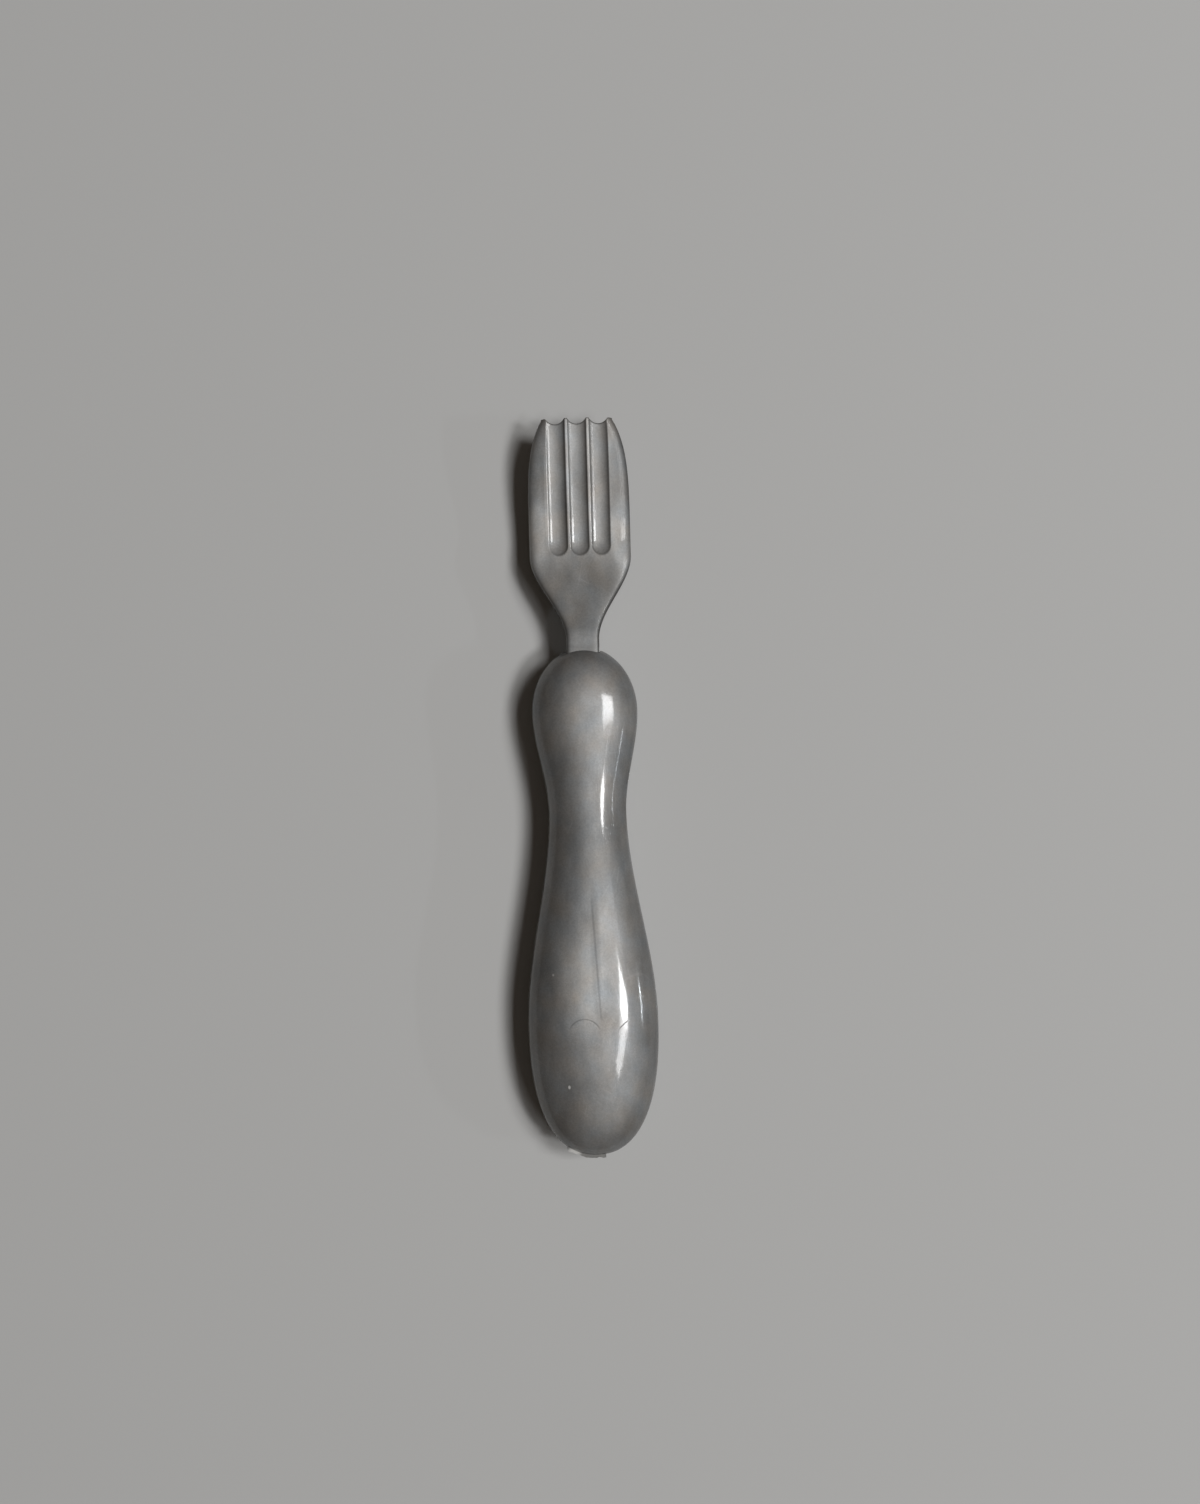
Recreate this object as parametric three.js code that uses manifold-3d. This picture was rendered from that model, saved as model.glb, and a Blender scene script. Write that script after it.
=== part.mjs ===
// Small thick-handled fork: a fluted head with four tines and a flat tang, and a bulbous handle
// moulded round that tang. Millimetres. +Y points to the tine tips, +X to the right of the face,
// +Z is up from the surface that the fork lies on. The origin is under the middle of its length.

import * as THREE from "three";
import { mergeVertices } from "three/addons/utils/BufferGeometryUtils.js";
import Module from "manifold-3d";

// Handle, along its length from the free end to the nose
const END_LENGTH = 10.65;
const BELLY_TO_WAIST = 17.1;
const WAIST_TO_BULB = 8.1;
const NOSE_LENGTH = 5.2;

// Handle, across
const BELLY_WIDTH = 10.55;
const WAIST_WIDTH = 6.3;
const BULB_WIDTH = 8.55;
const END_FULLNESS = 2.4; // power of the free end's outline: 2 is an ellipse, more is squarer

// Handle, up from its middle plane and down from it
const BELLY_RISE = 3.0;
const WAIST_RISE = 2.4;
const BULB_RISE = 2.5;
const BELLY_DEPTH = 2.75;
const WAIST_DEPTH = 2.5;
const BULB_DEPTH = 2.75;
const SADDLE_SHIFT = 1.55; // the face is lowest this far from the waist, towards the belly
const SADDLE_LENGTH = 4.6; // from there it climbs to the bulb's height over this length
const REST_FLAT_DEPTH = 0.12; // how much of the underside the two resting flats take off

// Stub that is left of the moulding gate, broken off on a slant at the free end
const GATE_WIDTH = 3.1;
const GATE_THICKNESS = 1.3;
const GATE_STUB = 0.2;
const GATE_BREAK_RUN = 1.6;
const GATE_BREAK_DROP = 0.6;
const GATE_OFFSET = 0.8; // the gate sits this far to the left of the middle

// Head, along its length from the nose of the handle to the tips
const NECK_LENGTH = 0.65;
const SHOULDER_LENGTH = 6.8;
const TINE_LENGTH = 10.9;

// Head, across
const NECK_WIDTH = 2.65;
const HEAD_WIDTH = 8.2;
const TIP_SPAN = 5.6;
const TIP_DRAW_IN = 5; // power of the curve by which the outer tines draw in to the tips
const BLADE_THICKNESS = 1.5;
const TIP_THICKNESS = 1.2;
const NECK_FULLNESS = 7; // power of the neck's section: 2 is an ellipse, more is squarer
const TINE_FULLNESS = 2.8; // the same across the tines

// Flutes that part the tines, and the hollows that they leave along the tip edge
const FLUTE_COUNT = 3;
const FLUTE_WIDTH = 1.5;
const FLUTE_DEPTH = 0.22;
const CREST_WIDTH = 0.25;
const SCALLOP_DEPTH = 0.42;

// Side view of the head: it sinks to a shallow bowl, bends up there and rises straight to the tips
const BOWL_DROP = 0.35;
const BOWL_FROM_ROOT = 1.5;
const BEND_LENGTH = 1.6;
const TINE_RISE = 1.03; // height of the tips over the bowl

// Tang inside the handle, with the holes that key it there
const TANG_LENGTH = 24;
const TANG_TAPER = 2.5;
const TANG_END_WIDTH = 1.7;
const TANG_FIT = 0.05; // gap all round, left by the handle's shrinkage
const KEY_HOLE_DIAMETER = 1.2;
const KEY_HOLE_COUNT = 2;
const KEY_HOLE_PITCH = 9;
const KEY_HOLE_FROM_END = 4;

// Facets
const HANDLE_RINGS = 44;
const HANDLE_SIDES = 40;
const SHOULDER_RINGS = 12;
const TINE_RINGS = 18;
const BLADE_SIDES = 40;
const FLUTE_SIDES = 28;
const BALL_RINGS = 6;
const CUT_OVERSHOOT = 1;

// Stations along Y
const GRIP_LENGTH = END_LENGTH + BELLY_TO_WAIST + WAIST_TO_BULB + NOSE_LENGTH;
const HEAD_LENGTH = NECK_LENGTH + SHOULDER_LENGTH + TINE_LENGTH;
const OVERALL_LENGTH = GATE_STUB + GRIP_LENGTH + HEAD_LENGTH;
const FREE_END_Y = GATE_STUB - OVERALL_LENGTH / 2;
const BELLY_Y = FREE_END_Y + END_LENGTH;
const WAIST_Y = BELLY_Y + BELLY_TO_WAIST;
const BULB_Y = WAIST_Y + WAIST_TO_BULB;
const SADDLE_Y = WAIST_Y - SADDLE_SHIFT;
const CROWN_Y = SADDLE_Y + SADDLE_LENGTH;
const NOSE_Y = BULB_Y + NOSE_LENGTH;
const SHOULDER_Y = NOSE_Y + NECK_LENGTH;
const ROOT_Y = SHOULDER_Y + SHOULDER_LENGTH;
const BOWL_Y = ROOT_Y + BOWL_FROM_ROOT;
const TIP_Y = ROOT_Y + TINE_LENGTH;
const TANG_END_Y = NOSE_Y - TANG_LENGTH;

// From the middle of one flute to the next
const FLUTE_PITCH = FLUTE_WIDTH + CREST_WIDTH;

// The handle's middle plane, which the tang and the gate share
const MIDDLE_Z = Math.max(BELLY_DEPTH, BULB_DEPTH) - REST_FLAT_DEPTH;

const { lerp, smoothstep, clamp } = THREE.MathUtils;
const wasm = await Module();
wasm.setup();

// A value that eases from the belly through the waist to the bulb
function alongHandle(y, belly, waist, bulb, waistY = WAIST_Y, bulbY = BULB_Y) {
  const toWaist = lerp(belly, waist, smoothstep(y, BELLY_Y, waistY));
  return lerp(toWaist, bulb, smoothstep(y, waistY, bulbY));
}

// How far the handle's two rounded ends have closed at y: 1 between them, 0 at the very end
function endRounding(y) {
  const intoNose = clamp((y - BULB_Y) / NOSE_LENGTH, 0, 1);
  const intoEnd = clamp((BELLY_Y - y) / END_LENGTH, 0, 1);
  const nose = Math.sqrt(1 - intoNose ** 2);
  const end = (1 - intoEnd ** END_FULLNESS) ** (1 / END_FULLNESS);
  return nose * end;
}

// Half the width of the head and its tang at y
function bladeHalfWidth(y) {
  if (y < TANG_END_Y + TANG_TAPER) {
    return lerp(TANG_END_WIDTH, NECK_WIDTH, (y - TANG_END_Y) / TANG_TAPER) / 2;
  }
  if (y < ROOT_Y) {
    return lerp(NECK_WIDTH, HEAD_WIDTH, smoothstep(y, SHOULDER_Y, ROOT_Y)) / 2;
  }
  const toTip = (y - ROOT_Y) / TINE_LENGTH;
  return lerp(HEAD_WIDTH, TIP_SPAN, toTip ** TIP_DRAW_IN) / 2;
}

// Half the thickness of the head and its tang at y
function bladeHalfThickness(y) {
  const toTip = clamp((y - ROOT_Y) / TINE_LENGTH, 0, 1);
  return lerp(BLADE_THICKNESS, TIP_THICKNESS, toTip) / 2;
}

// Power of the blade's section at y: crisp edges to half-way up the shoulders, softer ones at the tines
function bladeFullness(y) {
  const halfWay = (SHOULDER_Y + ROOT_Y) / 2;
  return lerp(NECK_FULLNESS, TINE_FULLNESS, smoothstep(y, halfWay, BOWL_Y));
}

// Height of the face over the middle of the blade, at x across it and y along it
function faceHeight(x, y) {
  const fullness = bladeFullness(y);
  const share = Math.abs(x) / bladeHalfWidth(y);
  return bladeHalfThickness(y) * (1 - share ** fullness) ** (1 / fullness);
}

// Height of the middle of the blade at y
function bladeMiddle(y) {
  const drop = BOWL_DROP * smoothstep(y, SHOULDER_Y, BOWL_Y);
  const pastBowl = clamp(y, BOWL_Y, TIP_Y) - BOWL_Y;
  const inBend = Math.min(pastBowl, BEND_LENGTH);
  const run = inBend ** 2 / (2 * BEND_LENGTH) + pastBowl - inBend;
  const fullRun = TIP_Y - BOWL_Y - BEND_LENGTH / 2;
  return MIDDLE_Z - drop + (TINE_RISE * run) / fullRun;
}

// A ring of points across Y: half an ellipse over its centre and half of one under it, squarer as
// the fullness grows from 2
function ring(y, centreX, centreZ, halfWidth, rise, sides, fullness = 2, depth = rise) {
  const points = [];
  for (let side = 0; side < sides; side++) {
    const angle = (2 * Math.PI * side) / sides;
    const c = Math.cos(angle);
    const s = Math.sin(angle);
    const x = centreX + halfWidth * Math.sign(c) * Math.abs(c) ** (2 / fullness);
    const reach = s > 0 ? rise : depth;
    const z = centreZ + reach * Math.sign(s) * Math.abs(s) ** (2 / fullness);
    points.push(new THREE.Vector3(x, y, z));
  }
  return points;
}

// A closed skin over rings in order of Y, drawn together to one point at each end
function loft(rings, startPoint, endPoint) {
  const sides = rings[0].length;
  const points = [...rings.flat(), startPoint, endPoint];
  const start = points.length - 2;
  const end = points.length - 1;
  const lastRing = start - sides;
  const triangles = [];
  for (let side = 0; side < sides; side++) {
    const next = (side + 1) % sides;
    triangles.push(start, side, next);
    for (let row = 0; row < lastRing; row += sides) {
      const above = row + sides;
      triangles.push(row + side, above + side, row + next);
      triangles.push(row + next, above + side, above + next);
    }
    triangles.push(end, lastRing + next, lastRing + side);
  }
  const geometry = new THREE.BufferGeometry().setFromPoints(points);
  geometry.setIndex(triangles);
  return geometry;
}

// A closed geometry as a solid that can be cut and joined
function solid(geometry) {
  const bare = geometry.clone();
  bare.deleteAttribute("normal");
  bare.deleteAttribute("uv");
  const merged = mergeVertices(bare);
  return new wasm.Manifold(new wasm.Mesh({
    numProp: 3,
    vertProperties: new Float32Array(merged.getAttribute("position").array),
    triVerts: new Uint32Array(merged.getIndex().array),
  }));
}

// A solid as a named mesh of the scene
function mesh(name, body, material) {
  const { vertProperties, triVerts } = body.getMesh();
  const geometry = new THREE.BufferGeometry();
  geometry.setAttribute("position", new THREE.BufferAttribute(vertProperties, 3));
  geometry.setIndex(new THREE.BufferAttribute(triVerts, 1));
  geometry.computeVertexNormals();
  const part = new THREE.Mesh(geometry, material);
  part.name = name;
  return part;
}

// Places along Y of the holes that key the tang
function keyHoleStations() {
  const first = TANG_END_Y + KEY_HOLE_FROM_END;
  return Array.from({ length: KEY_HOLE_COUNT }, (_, hole) => first + hole * KEY_HOLE_PITCH);
}

// A round bar through the middle plane at y
function uprightBar(y, diameter, height) {
  const bar = new THREE.CylinderGeometry(diameter / 2, diameter / 2, height, FLUTE_SIDES);
  bar.rotateX(Math.PI / 2);
  bar.translate(0, y, MIDDLE_Z);
  return solid(bar);
}

// The blade's section at y, larger all round by grow
function bladeRing(y, grow = 0) {
  const halfWidth = bladeHalfWidth(y) + grow;
  const halfThickness = bladeHalfThickness(y) + grow;
  return ring(y, 0, bladeMiddle(y), halfWidth, halfThickness, BLADE_SIDES, bladeFullness(y));
}

// The middle of the blade's section at y
function middlePoint(y) {
  return new THREE.Vector3(0, y, bladeMiddle(y));
}

// Head with its tang, before any cuts
function bladeBlank() {
  const stations = [TANG_END_Y, TANG_END_Y + TANG_TAPER, NOSE_Y];
  for (let step = 0; step < SHOULDER_RINGS; step++) {
    stations.push(lerp(SHOULDER_Y, ROOT_Y, step / SHOULDER_RINGS));
  }
  for (let step = 0; step <= TINE_RINGS; step++) {
    // The rings crowd towards the tips, where the outline turns in most
    const share = Math.sin((step / TINE_RINGS) * (Math.PI / 2));
    stations.push(lerp(ROOT_Y, TIP_Y, share));
  }
  const rings = stations.map((y) => bladeRing(y));
  return solid(loft(rings, middlePoint(TANG_END_Y), middlePoint(TIP_Y)));
}

// Place across the head of each flute, counted from the left
function fluteX(flute) {
  return (flute - (FLUTE_COUNT - 1) / 2) * FLUTE_PITCH;
}

// A round-ended rod that follows the face of the head, its lower half sunk in by the flute's depth
function fluteCutter(flute) {
  const radius = FLUTE_WIDTH / 2;
  const roundY = ROOT_Y + radius;
  const x = fluteX(flute);
  const faceAt = (y) => bladeMiddle(y) + faceHeight(x, y);
  const heightAt = (y) => faceAt(Math.min(y, TIP_Y));
  const rodRing = (y, share) => ring(
    y, x, heightAt(y), share * radius, share * CUT_OVERSHOOT, FLUTE_SIDES, 2, share * FLUTE_DEPTH,
  );
  const rings = [];
  for (let step = 1; step <= BALL_RINGS; step++) {
    const angle = (step / BALL_RINGS) * (Math.PI / 2);
    rings.push(rodRing(roundY - radius * Math.cos(angle), Math.sin(angle)));
  }
  for (let step = 1; step <= TINE_RINGS; step++) {
    rings.push(rodRing(lerp(roundY, TIP_Y + CUT_OVERSHOOT, step / TINE_RINGS), 1));
  }
  const start = new THREE.Vector3(x, ROOT_Y, heightAt(ROOT_Y));
  const end = new THREE.Vector3(x, TIP_Y + CUT_OVERSHOOT, heightAt(TIP_Y));
  return solid(loft(rings, start, end));
}

// An upright drum that hollows the tip edge between two tines
function scallopCutter(flute) {
  const radius = (FLUTE_WIDTH ** 2 / 4 + SCALLOP_DEPTH ** 2) / (2 * SCALLOP_DEPTH);
  const drum = new THREE.CylinderGeometry(radius, radius, 2 * HEAD_WIDTH, FLUTE_SIDES);
  drum.rotateX(Math.PI / 2);
  drum.translate(fluteX(flute), TIP_Y - SCALLOP_DEPTH + radius, bladeMiddle(TIP_Y));
  return solid(drum);
}

function buildHead() {
  let head = bladeBlank();
  for (let flute = 0; flute < FLUTE_COUNT; flute++) {
    head = head.subtract(fluteCutter(flute)).subtract(scallopCutter(flute));
  }
  for (const y of keyHoleStations()) {
    head = head.subtract(uprightBar(y, KEY_HOLE_DIAMETER, 2 * BLADE_THICKNESS));
  }
  return head;
}

// The handle's section at y: half an ellipse above the middle plane and another below it
function handleRing(y) {
  const closed = endRounding(y);
  const width = alongHandle(y, BELLY_WIDTH, WAIST_WIDTH, BULB_WIDTH) * closed;
  const rise = alongHandle(y, BELLY_RISE, WAIST_RISE, BULB_RISE, SADDLE_Y, CROWN_Y) * closed;
  const depth = alongHandle(y, BELLY_DEPTH, WAIST_DEPTH, BULB_DEPTH) * closed;
  return ring(y, 0, MIDDLE_Z, width / 2, rise, HANDLE_SIDES, 2, depth);
}

// The handle's swelling body, before any cuts
function handleBody() {
  const rings = [];
  for (let step = 1; step < HANDLE_RINGS; step++) {
    const share = (1 - Math.cos((Math.PI * step) / HANDLE_RINGS)) / 2;
    rings.push(handleRing(lerp(FREE_END_Y, NOSE_Y, share)));
  }
  const freeEnd = new THREE.Vector3(0, FREE_END_Y, MIDDLE_Z);
  const nose = new THREE.Vector3(0, NOSE_Y, MIDDLE_Z);
  return solid(loft(rings, freeEnd, nose));
}

// The room that the tang takes in the handle, open at the nose
function tangSocket() {
  const mouthY = NOSE_Y + CUT_OVERSHOOT;
  const rings = [TANG_END_Y, TANG_END_Y + TANG_TAPER, NOSE_Y].map((y) => bladeRing(y, TANG_FIT));
  const mouth = rings.at(-1).map((point) => point.clone().setY(mouthY));
  const bottom = new THREE.Vector3(0, TANG_END_Y - TANG_FIT, MIDDLE_Z);
  const end = new THREE.Vector3(0, mouthY, MIDDLE_Z);
  const floor = rings[0].map((point) => point.clone().setY(TANG_END_Y - TANG_FIT));
  return solid(loft([floor, ...rings, mouth], bottom, end));
}

// What is left of the gate, from inside the free end out to its slanted break
function gateStub() {
  const right = GATE_WIDTH / 2 - GATE_OFFSET;
  const left = right - GATE_WIDTH;
  const breakY = FREE_END_Y - GATE_STUB;
  const insideY = FREE_END_Y + GATE_WIDTH;
  const outline = new THREE.Shape([
    new THREE.Vector2(left, insideY),
    new THREE.Vector2(left, breakY + GATE_BREAK_DROP),
    new THREE.Vector2(left + GATE_BREAK_RUN, breakY),
    new THREE.Vector2(right, breakY),
    new THREE.Vector2(right, insideY),
  ]);
  const stub = new THREE.ExtrudeGeometry(outline, { depth: GATE_THICKNESS, bevelEnabled: false });
  stub.translate(0, 0, MIDDLE_Z - GATE_THICKNESS / 2);
  return solid(stub);
}

// Everything under the plane that the handle rests on
function belowRestPlane() {
  const block = new THREE.BoxGeometry(2 * BELLY_WIDTH, 2 * OVERALL_LENGTH, BELLY_DEPTH);
  block.translate(0, 0, -BELLY_DEPTH / 2);
  return solid(block);
}

function buildHandle() {
  let handle = handleBody().add(gateStub()).subtract(tangSocket());
  for (const y of keyHoleStations()) {
    handle = handle.add(uprightBar(y, KEY_HOLE_DIAMETER - 2 * TANG_FIT, 2 * BLADE_THICKNESS));
  }
  return handle.subtract(belowRestPlane());
}

// Silver-grey pearl plastic
const SILVER_PLASTIC = { color: 0x8c8c89, roughness: 0.38, metalness: 0.5 };

const fork = new THREE.Group();
fork.name = "fork";
fork.add(mesh("fork_head", buildHead(), new THREE.MeshStandardMaterial(SILVER_PLASTIC)));
fork.add(mesh("handle", buildHandle(), new THREE.MeshStandardMaterial(SILVER_PLASTIC)));

export default fork;
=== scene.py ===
"""Dresses a small thick-handled fork of silver pearl plastic.

Everything is in metres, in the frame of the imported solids: +Y runs to the tine tips, +X to the right of
the face and +Z up from the surface that the fork lies on.
"""

import logging
import math
from dataclasses import dataclass
from enum import Enum

import bmesh
import bpy
import numpy as np
from bpy.types import ID, Material, Mesh, Node, NodeTree, Object, bpy_prop_collection
from bpy.types import NodeSocket as Socket
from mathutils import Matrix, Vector


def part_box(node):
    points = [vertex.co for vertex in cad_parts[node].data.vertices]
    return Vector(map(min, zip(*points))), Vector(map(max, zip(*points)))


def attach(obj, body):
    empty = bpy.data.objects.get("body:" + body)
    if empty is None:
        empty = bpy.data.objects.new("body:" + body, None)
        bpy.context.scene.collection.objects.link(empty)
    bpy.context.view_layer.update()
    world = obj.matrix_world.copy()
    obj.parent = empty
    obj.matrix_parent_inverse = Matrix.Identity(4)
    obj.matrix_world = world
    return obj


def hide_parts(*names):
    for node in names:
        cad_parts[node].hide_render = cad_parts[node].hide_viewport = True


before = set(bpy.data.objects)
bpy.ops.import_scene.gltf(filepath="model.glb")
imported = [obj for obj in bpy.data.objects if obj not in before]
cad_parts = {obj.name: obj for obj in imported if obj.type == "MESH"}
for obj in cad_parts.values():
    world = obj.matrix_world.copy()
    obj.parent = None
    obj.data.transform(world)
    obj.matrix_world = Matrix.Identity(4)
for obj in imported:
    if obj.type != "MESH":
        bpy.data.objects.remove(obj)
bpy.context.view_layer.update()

LOG = logging.getLogger("fork")
MM = 0.001

Colour = tuple[float, float, float]
Point = tuple[float, float]


class Solid(Enum):
    """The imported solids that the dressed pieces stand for."""

    HEAD = "fork_head"
    HANDLE = "handle"


class Slot(Enum):
    """The record's material slots."""

    HEAD = "head_plastic"
    HANDLE = "handle_plastic"


@dataclass(frozen=True)
class TreeWriter:
    """Adds nodes to a geometry or shader tree and joins them, so that a formula reads as a few calls."""

    tree: NodeTree

    def add(self, kind: str, **settings: object) -> Node:
        """Adds one node.

        Args:
            kind: Blender's name for the kind of node.
            settings: Properties of the node, by name.

        Returns:
            The new node.
        """
        node = self.tree.nodes.new(kind)
        for name, value in settings.items():
            setattr(node, name, value)
        return node

    def feed(self, socket: Socket, value: object) -> None:
        """Joins an input to another node's output, or sets its plain value.

        Args:
            socket: The input.
            value: An output to join it to, or a plain value.
        """
        if isinstance(value, Socket):
            self.tree.links.new(value, socket)
        else:
            socket.default_value = value

    def call(self, kind: str, inputs: dict[str, object], **settings: object) -> Node:
        """Adds one node and feeds its inputs by name.

        Args:
            kind: Blender's name for the kind of node.
            inputs: Values or outputs for its inputs.
            settings: Properties of the node, by name.

        Returns:
            The new node.
        """
        node = self.add(kind, **settings)
        for name, value in inputs.items():
            self.feed(node.inputs[name], value)
        return node

    def maths(self, operation: str, *values: object, clamp: bool = False) -> Socket:
        """Works out one sum.

        Args:
            operation: Blender's name for the sum.
            values: Its values or outputs, in order.
            clamp: Whether the result is kept between 0 and 1.

        Returns:
            The result.
        """
        node = self.add("ShaderNodeMath", operation=operation, use_clamp=clamp)
        for socket, value in zip(node.inputs, values):
            self.feed(socket, value)
        return node.outputs[0]

    def vector(self, operation: str, *values: object) -> Socket:
        """Works out one sum on vectors.

        Args:
            operation: Blender's name for the sum.
            values: Its vectors or outputs, in order.

        Returns:
            The resulting vector.
        """
        node = self.add("ShaderNodeVectorMath", operation=operation)
        for socket, value in zip(node.inputs, values):
            self.feed(socket, value)
        return node.outputs["Vector"]

    def scaled(self, vector: object, factor: object) -> Socket:
        """Makes a vector longer or shorter.

        Args:
            vector: The vector.
            factor: What it is multiplied by.

        Returns:
            The new vector.
        """
        result = self.vector("SCALE", vector)
        self.feed(result.node.inputs["Scale"], factor)
        return result

    def square_sum(self, a: Socket, b: Socket) -> Socket:
        """Adds the squares of two values."""
        return self.maths("MULTIPLY_ADD", a, a, self.maths("MULTIPLY", b, b))

    def faded(self, value: object, mask: Socket, share: float = 1.0) -> Socket:
        """Lowers a value by a share of itself where a mask is 1."""
        return self.maths("MULTIPLY", value, self.maths("MULTIPLY_ADD", mask, -share, 1.0))

    def sunk(self, height: Socket, mask: Socket, depth: float) -> Socket:
        """Presses a mark of some depth into a height where a mask is 1."""
        return self.maths("SUBTRACT", height, self.maths("MULTIPLY", mask, depth))

    def ranged(self, value: object, start: object, end: object, low: object, high: object,
               eased: bool = False) -> Socket:
        """Maps a value from one range to another and keeps it there.

        Args:
            value: The value to map.
            start: Where the first range starts.
            end: Where the first range ends.
            low: What the start becomes.
            high: What the end becomes.
            eased: Whether the change starts and ends gently.

        Returns:
            The mapped value.
        """
        inputs = {"Value": value, "From Min": start, "From Max": end, "To Min": low, "To Max": high}
        kind = "SMOOTHSTEP" if eased else "LINEAR"
        return self.call("ShaderNodeMapRange", inputs, interpolation_type=kind).outputs["Result"]

    def split(self, vector: Socket) -> tuple[Socket, Socket, Socket]:
        """Gives a vector's X, Y and Z."""
        node = self.call("ShaderNodeSeparateXYZ", {"Vector": vector})
        return node.outputs["X"], node.outputs["Y"], node.outputs["Z"]

    def joined(self, x: object, y: object, z: object) -> Socket:
        """Makes a vector of three parts."""
        return self.call("ShaderNodeCombineXYZ", {"X": x, "Y": y, "Z": z}).outputs["Vector"]

    def noise(self, vector: Socket, scale: object, detail: float = 2.0) -> Socket:
        """Adds a soft, irregular pattern from 0 to 1, of some fineness and number of finer layers."""
        inputs = {"Vector": vector, "Scale": scale, "Detail": detail}
        return self.call("ShaderNodeTexNoise", inputs).outputs["Fac"]

    def declare(self, direction: str, sockets: dict[str, str]) -> Node:
        """Names a group's inputs or outputs and adds the node that holds them.

        Args:
            direction: INPUT or OUTPUT.
            sockets: Blender's name for each socket's kind, by the socket's name.

        Returns:
            The group's input or output node.
        """
        for name, kind in sockets.items():
            self.tree.interface.new_socket(name=name, in_out=direction, socket_type=kind)
        return self.add("NodeGroupInput" if direction == "INPUT" else "NodeGroupOutput")


FLOAT = "NodeSocketFloat"
VECTOR = "NodeSocketVector"
GEOMETRY = "NodeSocketGeometry"
MATERIAL = "NodeSocketMaterial"


def geometry_tree(name: str, sizes: dict[str, float]) -> tuple[TreeWriter, Node]:
    """Starts a geometry tree with a mesh input, a material input and one input for each size.

    Args:
        name: The tree's name.
        sizes: The sizes, by name.

    Returns:
        The tree's writer and its input node.
    """
    tree = bpy.data.node_groups.new(name, "GeometryNodeTree")
    writer = TreeWriter(tree)
    kinds = {"Mesh": GEOMETRY, "Finish": MATERIAL, **dict.fromkeys(sizes, FLOAT)}
    return writer, writer.declare("INPUT", kinds)


def end_geometry_tree(writer: TreeWriter, shape: Socket, finish: Socket) -> None:
    """Ends a geometry tree: smooth shading, real geometry and the finish.

    Args:
        writer: The tree's writer.
        shape: The geometry that the tree has made.
        finish: The material input.
    """
    smooth = writer.call("GeometryNodeSetShadeSmooth", {"Geometry": shape})
    real = writer.call("GeometryNodeRealizeInstances", {"Geometry": smooth.outputs["Geometry"]})
    dressed = writer.call("GeometryNodeSetMaterial",
                          {"Geometry": real.outputs["Geometry"], "Material": finish})
    out = writer.declare("OUTPUT", {"Geometry": GEOMETRY})
    writer.feed(out.inputs["Geometry"], dressed.outputs["Geometry"])


def add_object(data: ID) -> Object:
    """Puts a mesh, a lamp or a camera into the scene at the origin, under its own name."""
    added = bpy.data.objects.new(data.name, data)
    bpy.context.scene.collection.objects.link(added)
    return added


def ring_faces(rings: int, count: int) -> tuple[np.ndarray, list[list[int]]]:
    """Numbers the points of a stack of rings and joins each ring to the next.

    Args:
        rings: How many rings there are.
        count: How many points each has.

    Returns:
        The points' numbers, by ring, and the faces between the rings.
    """
    index = np.arange(rings * count).reshape(rings, count)
    ahead = np.roll(index, -1, axis=1)
    faces = np.stack([index[:-1], ahead[:-1], ahead[1:], index[1:]], -1)
    return index, faces.reshape(-1, 4).tolist()


def closed_mesh(name: str, points: list, faces: list) -> Mesh:
    """Makes a mesh whose faces all look outwards.

    Args:
        name: The mesh's name.
        points: Its points.
        faces: The numbers of each face's points.

    Returns:
        The mesh.
    """
    mesh = bpy.data.meshes.new(name)
    mesh.from_pydata(points, [], faces)
    work = bmesh.new()
    work.from_mesh(mesh)
    bmesh.ops.recalc_face_normals(work, faces=work.faces)
    work.to_mesh(mesh)
    work.free()
    return mesh


def grow(piece: Object, tree: NodeTree, finish: Material, sizes: dict[str, float]) -> None:
    """Gives a piece a geometry tree with its inputs set.

    Args:
        piece: The object that the tree works on.
        tree: The geometry tree.
        finish: The piece's material.
        sizes: The tree's sizes, by name.
    """
    modifier = piece.modifiers.new(tree.name, "NODES")
    modifier.node_group = tree
    identifiers = {item.name: item.identifier for item in tree.interface.items_tree}
    modifier[identifiers["Finish"]] = finish
    for name, size in sizes.items():
        modifier[identifiers[name]] = size


def make_plain(piece: Object) -> None:
    """Turns a piece's modifiers into plain mesh.

    Args:
        piece: The object to change.
    """
    graph = bpy.context.evaluated_depsgraph_get()
    mesh = bpy.data.meshes.new_from_object(piece.evaluated_get(graph))
    piece.modifiers.clear()
    piece.data = mesh
    mesh.name = piece.name


def cut(piece: Object, tool: Object) -> None:
    """Cuts one piece out of another and uses it up.

    Args:
        piece: The object to cut.
        tool: The object that is cut out of it.
    """
    modifier = piece.modifiers.new(tool.name, "BOOLEAN")
    modifier.operation = "DIFFERENCE"
    modifier.solver = "EXACT"
    modifier.object = tool
    make_plain(piece)
    bpy.data.objects.remove(tool)


def eased(value: np.ndarray, start: float, end: float) -> np.ndarray:
    """A gentle step that leaves 0 at the start and reaches 1 at the end."""
    share = np.clip((value - start) / (end - start), 0.0, 1.0)
    return share * share * (3.0 - 2.0 * share)


def soft_minimum(a: np.ndarray, b: np.ndarray, reach: float) -> np.ndarray:
    """The lower of two surfaces, rounded off where they come within reach of each other."""
    share = np.clip(0.5 + 0.5 * (b - a) / reach, 0.0, 1.0)
    return b + (a - b) * share - reach * share * (1.0 - share)


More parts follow.
